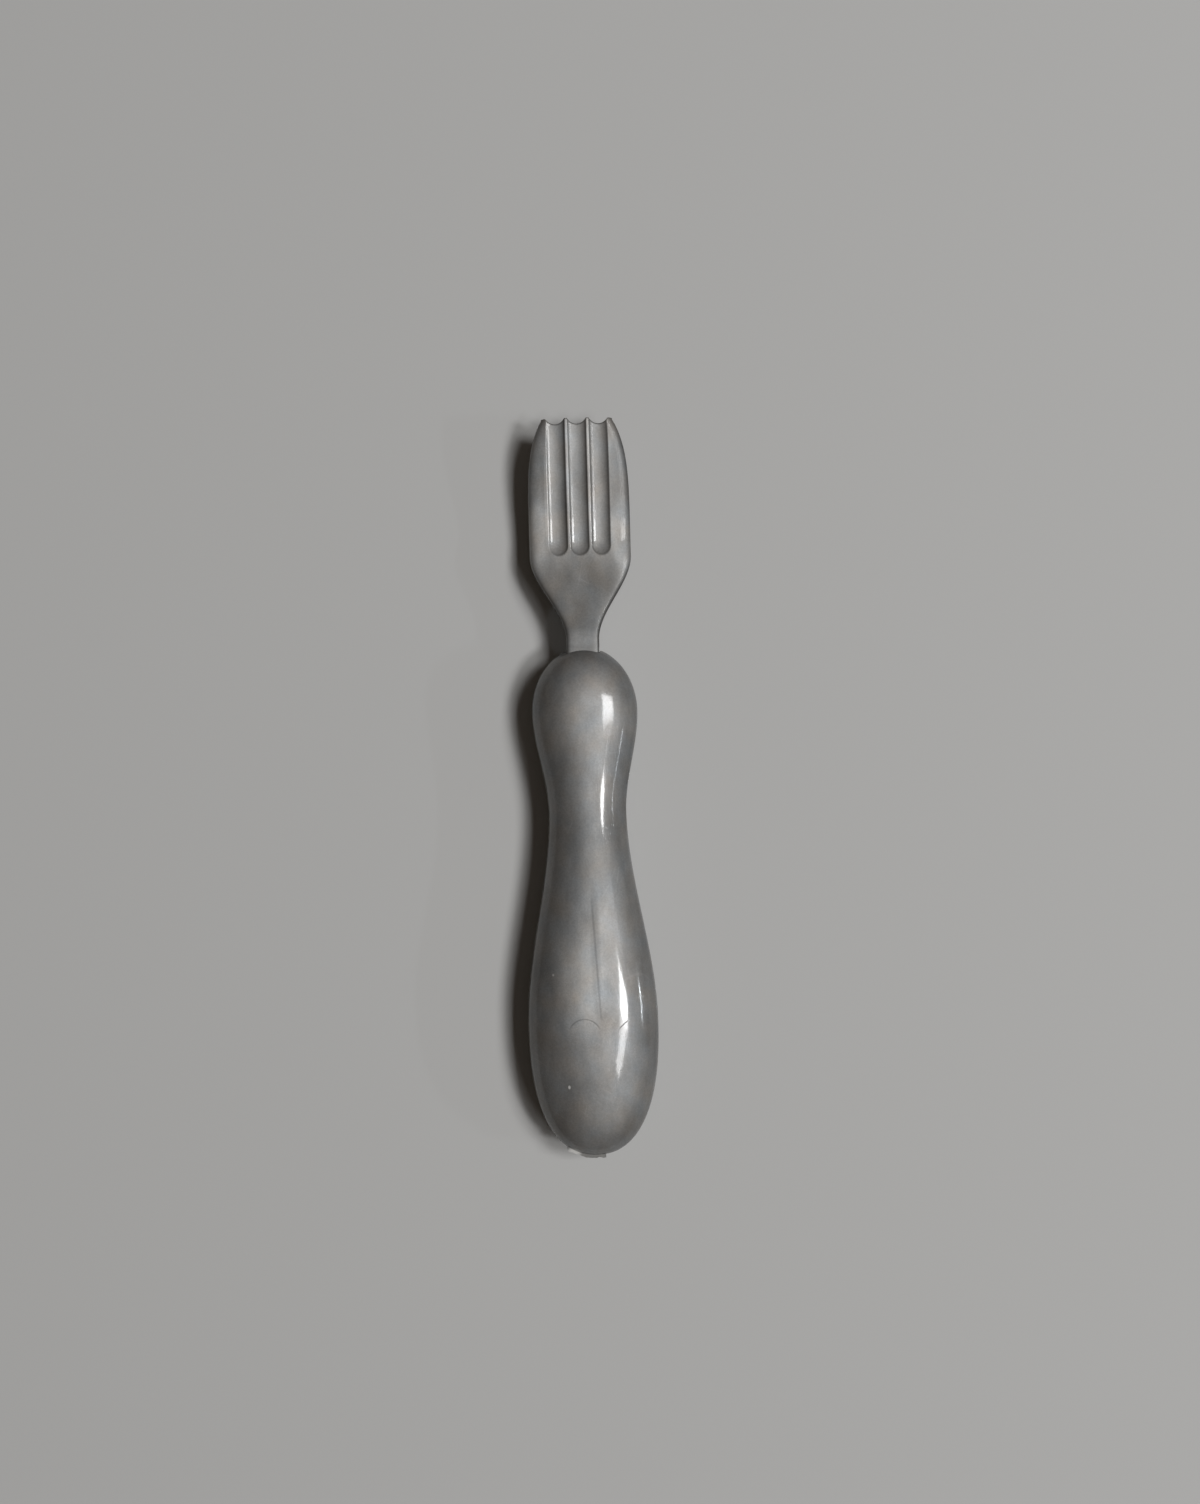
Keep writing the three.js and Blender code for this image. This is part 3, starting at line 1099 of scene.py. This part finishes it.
@dataclass
class Handle:
    """The solid handle that is moulded round the tang, with its broken gate."""

    layout: Layout
    belly: Section = Section(10.55 * MM, 3.0 * MM, 2.75 * MM)
    waist: Section = Section(6.3 * MM, 2.4 * MM, 2.5 * MM)
    bulb: Section = Section(8.55 * MM, 2.5 * MM, 2.75 * MM)
    saddle_shift: float = 1.55 * MM
    saddle_length: float = 4.6 * MM
    end_fullness: float = 2.4
    skin_inset: float = 0.02 * MM
    ripple: float = 0.02 * MM
    ripple_fineness: float = 260.0
    rings: int = 300
    sides: int = 180
    gate_width: float = 3.1 * MM
    gate_thickness: float = 1.3 * MM
    gate_stub: float = 0.2 * MM
    gate_break_run: float = 1.6 * MM
    gate_break_drop: float = 0.6 * MM
    gate_offset: float = 0.8 * MM
    gate_root: float = 1.4 * MM
    gate_roughness: float = 0.198 * MM
    gate_grid: tuple[int, int] = (48, 13)
    gate_seed: int = 11
    tang_fit: float = 0.05 * MM
    floor_block_size: tuple[float, float, float] = (30.0 * MM, 80.0 * MM, 10.0 * MM)
    seam_radius: float = 0.05 * MM
    seam_start: float = 1.4 * MM
    seam_points: int = 400

    def sizes(self) -> dict[str, float]:
        """Lists the inputs of the body's geometry tree.

        Returns:
            Their values, by name.
        """
        at = self.layout
        inset = self.skin_inset
        sizes = {
            "Free End": at.free_end,
            "Belly": at.belly,
            "Waist": at.waist,
            "Bulb": at.bulb,
            "Nose": at.nose,
            "Saddle": at.waist - self.saddle_shift,
            "Crown": at.waist - self.saddle_shift + self.saddle_length,
            "End Fullness": self.end_fullness,
            "Middle Height": at.middle,
            "Ripple": self.ripple,
            "Ripple Fineness": self.ripple_fineness,
        }
        for name, section in (("Belly", self.belly), ("Waist", self.waist), ("Bulb", self.bulb)):
            sizes[f"{name} Width"] = section.width - 2 * inset
            sizes[f"{name} Rise"] = section.rise - inset
            sizes[f"{name} Depth"] = section.depth - inset
        return sizes

    def body_tree(self) -> NodeTree:
        """A geometry tree that draws a ball out into the handle's swelling body.

        Returns:
            The tree, whose inputs are the handle's sizes.
        """
        writer, given = geometry_tree("handle_body", self.sizes())
        size = given.outputs
        ball = writer.call("GeometryNodeMeshUVSphere", {
            "Segments": self.sides, "Rings": self.rings, "Radius": 1.0})
        side, up, pole = writer.split(writer.add("GeometryNodeInputPosition").outputs["Position"])
        y = writer.ranged(pole, -1.0, 1.0, size["Free End"], size["Nose"])
        round_off = self.end_rounding(writer, size, y)
        width = self.along(writer, size, y, "Width")
        rise = self.along(writer, size, y, "Rise", "Saddle", "Crown")
        depth = self.along(writer, size, y, "Depth")
        out = writer.maths("SQRT", writer.square_sum(side, up))
        share = writer.maths("DIVIDE", round_off, out)
        half = writer.maths("MULTIPLY", width, 0.5)
        x = writer.maths("MULTIPLY", writer.maths("MULTIPLY", side, share), half)
        above = writer.maths("LESS_THAN", up, 0.0)
        reach = writer.maths("MULTIPLY_ADD", writer.maths("SUBTRACT", rise, depth), above, depth)
        lift = writer.maths("MULTIPLY", writer.maths("MULTIPLY", up, share), reach)
        z = writer.maths("SUBTRACT", size["Middle Height"], lift)
        body = writer.call("GeometryNodeSetPosition",
                           {"Geometry": ball.outputs["Mesh"], "Position": writer.joined(x, y, z)})
        place = writer.add("GeometryNodeInputPosition").outputs["Position"]
        wave = writer.noise(place, size["Ripple Fineness"], 1.0)
        sink = writer.maths("MULTIPLY", writer.maths("SUBTRACT", wave, 1.0), size["Ripple"])
        offset = writer.scaled(writer.add("GeometryNodeInputNormal").outputs["Normal"], sink)
        rippled = writer.call("GeometryNodeSetPosition",
                              {"Geometry": body.outputs["Geometry"], "Offset": offset})
        end_geometry_tree(writer, rippled.outputs["Geometry"], size["Finish"])
        return writer.tree

    @staticmethod
    def along(writer: TreeWriter, size: bpy_prop_collection, y: Socket, which: str,
              low: str = "Waist", high: str = "Bulb") -> Socket:
        """A width or height that eases from the belly through the waist to the bulb.

        Args:
            writer: The tree's writer.
            size: The tree's inputs.
            y: Place along the handle.
            which: Width, Rise or Depth.
            low: The input that says where it is smallest.
            high: The input that says where it has grown to the bulb's size.

        Returns:
            The size at that place.
        """
        belly, waist, bulb = (size[f"{name} {which}"] for name in ("Belly", "Waist", "Bulb"))
        to_waist = writer.ranged(y, size["Belly"], size[low], belly, waist, eased=True)
        gain = writer.maths("SUBTRACT", bulb, waist)
        to_bulb = writer.ranged(y, size[low], size[high], 0.0, gain, eased=True)
        return writer.maths("ADD", to_waist, to_bulb)

    @staticmethod
    def end_rounding(writer: TreeWriter, size: bpy_prop_collection, y: Socket) -> Socket:
        """How far the two rounded ends have closed: 1 between them and 0 at the very end.

        Args:
            writer: The tree's writer.
            size: The tree's inputs.
            y: Place along the handle.

        Returns:
            The share of the full section that is left.
        """
        into_nose = writer.ranged(y, size["Bulb"], size["Nose"], 0.0, 1.0)
        nose = writer.maths("SQRT", writer.maths("MULTIPLY_ADD", into_nose,
                                                 writer.maths("MULTIPLY", into_nose, -1.0), 1.0))
        into_end = writer.ranged(y, size["Free End"], size["Belly"], 1.0, 0.0)
        power = size["End Fullness"]
        rest = writer.maths("SUBTRACT", 1.0, writer.maths("POWER", into_end, power), clamp=True)
        end = writer.maths("POWER", rest, writer.maths("DIVIDE", 1.0, power))
        return writer.maths("MULTIPLY", nose, end)

    def floor_block(self) -> Object:
        """A block under the resting plane, which cuts the two resting flats.

        Returns:
            The cutting object.
        """
        work = bmesh.new()
        bmesh.ops.create_cube(work, size=1.0)
        bmesh.ops.scale(work, vec=self.floor_block_size, verts=work.verts)
        bmesh.ops.translate(work, vec=(0.0, 0.0, -self.floor_block_size[2] / 2), verts=work.verts)
        mesh = bpy.data.meshes.new("resting_flats")
        work.to_mesh(mesh)
        work.free()
        return add_object(mesh)

    def build(self, finish: Material, head: ForkHead) -> Object:
        """Makes the handle's body with its socket and its resting flats.

        Args:
            finish: Its material.
            head: The head whose tang it holds.

        Returns:
            The finished piece.
        """
        piece = add_object(bpy.data.meshes.new("handle_skin"))
        grow(piece, self.body_tree(), finish, self.sizes())
        make_plain(piece)
        cut(piece, head.socket(self.tang_fit))
        cut(piece, self.floor_block())
        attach(piece, "root")
        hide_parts(Solid.HANDLE.value)
        return piece

    def gate(self, finish: Material) -> Object:
        """Makes the stub of the moulding gate, torn off on a slant.

        Args:
            finish: Its material.

        Returns:
            The finished piece.
        """
        chance = np.random.default_rng(self.gate_seed)
        columns, layers = self.gate_grid
        right = self.gate_width / 2 - self.gate_offset
        x = np.linspace(right - self.gate_width, right, columns)
        break_y = self.layout.free_end - self.gate_stub
        slant = np.clip(1.0 - (x - x[0]) / self.gate_break_run, 0.0, 1.0)
        z = np.linspace(-0.5, 0.5, layers) * self.gate_thickness + self.layout.middle
        torn = chance.random((columns, layers))
        for axis in (0, 0, 1):
            torn = (np.roll(torn, 1, axis) + 2 * torn + np.roll(torn, -1, axis)) / 4
        y = break_y + (self.gate_break_drop * slant)[:, None] + self.gate_roughness * torn
        root = np.full((columns, 2), break_y + self.gate_root)
        ring = np.broadcast_arrays(x[:, None], np.hstack([y, root]), np.append(z, (z[-1], z[0])))
        index, faces = ring_faces(columns, layers + 2)
        faces += [index[0].tolist(), index[-1].tolist()]
        mesh = closed_mesh("gate_scar", np.stack(ring, -1).reshape(-1, 3).tolist(), faces)
        mesh.materials.append(finish)
        piece = add_object(mesh)
        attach(piece, "root")
        return piece

    def seam_path(self) -> np.ndarray:
        """The line where the mould's halves met, round the handle from neck to neck.

        Returns:
            Points along the seam.
        """
        at = self.layout
        turn = np.linspace(0.0, math.pi, self.seam_points)
        y = at.free_end + (at.nose - at.free_end) * (1.0 + np.cos(turn)) / 2
        belly, waist, bulb = self.belly.width, self.waist.width, self.bulb.width
        to_waist = belly + (waist - belly) * eased(y, at.belly, at.waist)
        width = to_waist + (bulb - waist) * eased(y, at.waist, at.bulb)
        into_nose = np.clip((y - at.bulb) / at.nose_length, 0.0, 1.0)
        into_end = np.clip((at.belly - y) / at.end_length, 0.0, 1.0)
        end = (1.0 - into_end ** self.end_fullness) ** (1 / self.end_fullness)
        half = width * np.sqrt(1.0 - into_nose ** 2) * end / 2
        right = np.stack([half - self.seam_radius, y, np.full_like(y, at.middle)], -1)
        right = right[right[:, 0] > self.seam_start]
        left = right[::-1] * np.array([-1.0, 1.0, 1.0])
        return np.concatenate([right, left])


@dataclass(frozen=True)
class MouldSeams:
    """The fine bead that the two halves of the mould leave along the fork's edges."""

    sides: int = 8

    def tree(self) -> NodeTree:
        """A geometry tree that runs a round bead along a path.

        Returns:
            The tree, whose input is the bead's radius.
        """
        writer, given = geometry_tree("mould_seam", {"Bead Radius": 0.0})
        path = writer.call("GeometryNodeMeshToCurve", {"Mesh": given.outputs["Mesh"]})
        ring = writer.call("GeometryNodeCurvePrimitiveCircle",
                           {"Resolution": self.sides, "Radius": given.outputs["Bead Radius"]})
        bead = writer.call("GeometryNodeCurveToMesh", {
            "Curve": path.outputs["Curve"], "Profile Curve": ring.outputs["Curve"], "Fill Caps": True})
        end_geometry_tree(writer, bead.outputs["Mesh"], given.outputs["Finish"])
        return writer.tree

    def build(self, name: str, paths: list[np.ndarray], radius: float, finish: Material,
              slot: Slot) -> Object:
        """Makes the bead along one or more paths.

        Args:
            name: The piece's name.
            paths: Points along each path.
            radius: The bead's radius.
            finish: Its material.
            slot: The record's slot for its finish; not used.

        Returns:
            The finished piece.
        """
        points, edges = [], []
        for path in paths:
            first = len(points)
            points += path.tolist()
            edges += [(i, i + 1) for i in range(first, len(points) - 1)]
        mesh = bpy.data.meshes.new(name)
        mesh.from_pydata(points, edges, [])
        piece = add_object(mesh)
        grow(piece, self.tree(), finish, {"Bead Radius": radius})
        make_plain(piece)
        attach(piece, "root")
        return piece


@dataclass(frozen=True)
class Softbox:
    """One soft lamp that hangs level over the floor and shines down."""

    name: str
    x: float
    y: float
    height: float
    width: float
    length: float
    power: float
    turn: float = 0.0
    colour: Colour = (1.0, 1.0, 1.0)

    def hang(self) -> None:
        """Adds the lamp to the scene."""
        data = bpy.data.lights.new(self.name, "AREA")
        data.shape = "RECTANGLE"
        data.size = self.width
        data.size_y = self.length
        data.energy = self.power
        data.color = self.colour
        lamp = add_object(data)
        lamp.location = (self.x, self.y, self.height)
        lamp.rotation_euler.z = math.radians(self.turn)


@dataclass(frozen=True)
class Studio:
    """The floor, the lamps and the camera."""

    image_width: float = 1200.0
    image_height: float = 1504.0
    focal_length: float = 1300.0
    sensor: float = 36.0
    camera_height: float = 108.0 * MM
    camera_turn: float = -1.60
    camera_x: float = 1.157 * MM
    camera_y: float = 2.95 * MM
    nearest: float = 1.0 * MM
    farthest: float = 100.0
    floor_half: float = 6.0
    floor_roughness: float = 0.9
    floor_gloss: float = 0.1
    floor_shade: Colour = (0.47, 0.47, 0.465)
    room_shade: Colour = (0.05, 0.04, 0.031)
    lamps: tuple[Softbox, ...] = (
        Softbox("key_panel_far", 0.735, 0.195, 1.1, 0.47, 0.358, 10.1),
        Softbox("key_panel_near", 0.795, -0.195, 1.1, 0.27, 0.17, 6.0, -32.0),
        Softbox("key_panel_low", 0.645, -0.364, 1.1, 0.34, 0.17, 2.8, 41.0),
        Softbox("overhead_panel", 0.06, 0.0, 1.1, 0.58, 1.0, 0.12),
        Softbox("edge_strip", 1.38, -0.2, 0.6, 0.05, 0.17, 3.2, 0.0, (0.88, 0.95, 1.0)),
    )

    def floor(self) -> None:
        """Lays the plain pale floor."""
        half = self.floor_half
        mesh = bpy.data.meshes.new("floor")
        corners = [(-half, -half, 0.0), (half, -half, 0.0), (half, half, 0.0), (-half, half, 0.0)]
        mesh.from_pydata(corners, [], [(0, 1, 2, 3)])
        paint = bpy.data.materials.new("floor_paint")
        paint.use_nodes = True
        skin = paint.node_tree.nodes["Principled BSDF"]
        skin.inputs["Base Color"].default_value = (*self.floor_shade, 1.0)
        skin.inputs["Roughness"].default_value = self.floor_roughness
        skin.inputs["Specular IOR Level"].default_value = self.floor_gloss
        mesh.materials.append(paint)
        floor = add_object(mesh)

    def light(self) -> None:
        """Hangs the lamps and sets the dim light of the room."""
        for lamp in self.lamps:
            lamp.hang()
        world = bpy.data.worlds.new("room")
        world.use_nodes = True
        world.node_tree.nodes["Background"].inputs["Color"].default_value = (*self.room_shade, 1.0)
        bpy.context.scene.world = world
        bpy.context.scene.view_settings.view_transform = "Standard"

    def camera(self) -> None:
        """Sets the camera over the fork, looking straight down as the photograph does."""
        data = bpy.data.cameras.new("camera")
        data.sensor_width = self.sensor
        data.lens = self.sensor * self.focal_length / max(self.image_width, self.image_height)
        data.clip_start = self.nearest
        data.clip_end = self.farthest
        camera = add_object(data)
        camera.location = (self.camera_x, self.camera_y, self.camera_height)
        camera.rotation_euler = (0.0, 0.0, math.radians(self.camera_turn))
        bpy.context.scene.camera = camera


GATE_CHIP = Spot.in_mm(-1.85, -29.25, 0.75, 0.5, 0.55)
HEAD_PLASTIC = PearlPlastic(
    "head_pearl", (0.235, 0.232, 0.226), coat=0.85, coat_roughness=0.1,
    # Painted shade: the shoulders and the neck made darker.
    clouds_and_painted_light=(Spot.in_mm(0.0, 15.2, 6.5, 4.4, -0.4),
            Spot.in_mm(0.0, 12.0, 3.2, 2.4, -0.22),
            Spot.in_mm(0.0, 12.2, 2.8, 0.8, 0.22),
            # Painted highlights: pale stripes along the two crests and along the left flute's outer edge.
            Spot.in_mm(-0.875, 25.2, 0.2, 6.3, 0.55),
            Spot.in_mm(0.875, 25.2, 0.2, 6.3, 0.55),
            Spot.in_mm(-2.6, 23.5, 0.2, 4.8, 0.45),
            # Painted highlights: soft glows on the lower ends of the right and left tines.
            Spot.in_mm(3.4, 20.6, 1.1, 3.4, 0.55),
            Spot.in_mm(-3.4, 20.2, 1.2, 3.8, 0.6),
            # Painted shade on the right tine and painted light on the left tine.
            Spot.in_mm(3.4, 23.6, 1.1, 6.0, -0.35),
            Spot.in_mm(-3.4, 22.4, 1.1, 5.0, 0.4)),
    dull=(Spot.in_mm(3.3, 26.0, 1.6, 9.0, 0.9),
          Spot.in_mm(0.0, 28.5, 3.6, 7.6, 0.88),
          Spot.in_mm(3.2, 15.0, 3.0, 6.0, 0.9),
          Spot.in_mm(1.4, 11.4, 1.2, 3.0, 0.95)))
HANDLE_PLASTIC = PearlPlastic(
    "handle_pearl", (0.246, 0.244, 0.239), marks=FlowMarks(),
    # A paler patch on the belly: partly the pearl's cloud, partly a painted sheen.
    clouds_and_painted_light=(Spot.in_mm(-0.9, -15.4, 2.4, 5.6, 0.45),
            # Painted shade: the sheen on the grip between the waist and the belly made darker.
            Spot.in_mm(0.6, -5.5, 2.6, 5.5, -0.25),
            # Painted shade along the fold line's shallow valley.
            Spot.in_mm(0.38, -12.8, 0.5, 6.0, -0.22),
            # A painted reflection: a soft pale spot on the bulb.
            Spot.in_mm(-0.6, 6.4, 1.5, 3.0, 0.15)),
    chips=(Spot.in_mm(-2.0, -23.5, 0.13, 0.2, 0.8), GATE_CHIP),
    dull=(Spot.in_mm(2.7, 0.6, 1.35, 5.6, 0.85),
          Spot.in_mm(1.35, 2.8, 1.0, 2.3, 0.85),
          Spot.in_mm(1.0, -4.9, 1.0, 2.5, 0.9),
          Spot.in_mm(1.8, -8.3, 1.5, 5.4, 0.8)))
GATE_PLASTIC = PearlPlastic(
    "torn_pearl", (0.16, 0.157, 0.15), metallic=0.5, coat=0.0, chips=(GATE_CHIP,))


def report(piece: Object) -> None:
    """Logs a finished piece.

    Args:
        piece: The piece.
    """
    low = [min(v.co[i] for v in piece.data.vertices) / MM for i in range(3)]
    high = [max(v.co[i] for v in piece.data.vertices) / MM for i in range(3)]
    box = " ".join(f"{a:.2f}..{b:.2f}" for a, b in zip(low, high))
    LOG.info("%s: %d faces, %s mm", piece.name, len(piece.data.polygons), box)


def main() -> None:
    """Builds the fork's pieces, the studio and the camera."""
    logging.basicConfig(level=logging.INFO, format="%(name)s %(message)s")
    layout = Layout(tip=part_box(Solid.HEAD.value)[1].y)
    kit = EffectKit.make()
    head_finish = HEAD_PLASTIC.material(kit)
    handle_finish = HANDLE_PLASTIC.material(kit)
    gate_finish = GATE_PLASTIC.material(kit)
    head = ForkHead(layout)
    handle = Handle(layout)
    seams = MouldSeams()
    head_seams = [head.seam_path(side) for side in (-1, 1)]
    handle_seams = [handle.seam_path()]
    report(head.build(head_finish))
    report(handle.build(handle_finish, head))
    report(handle.gate(gate_finish))
    report(seams.build("head_seam", head_seams, head.seam_radius, head_finish, Slot.HEAD))
    report(seams.build("handle_seam", handle_seams, handle.seam_radius, handle_finish, Slot.HANDLE))
    studio = Studio()
    studio.floor()
    studio.light()
    studio.camera()


if __name__ == "__main__":
    main()
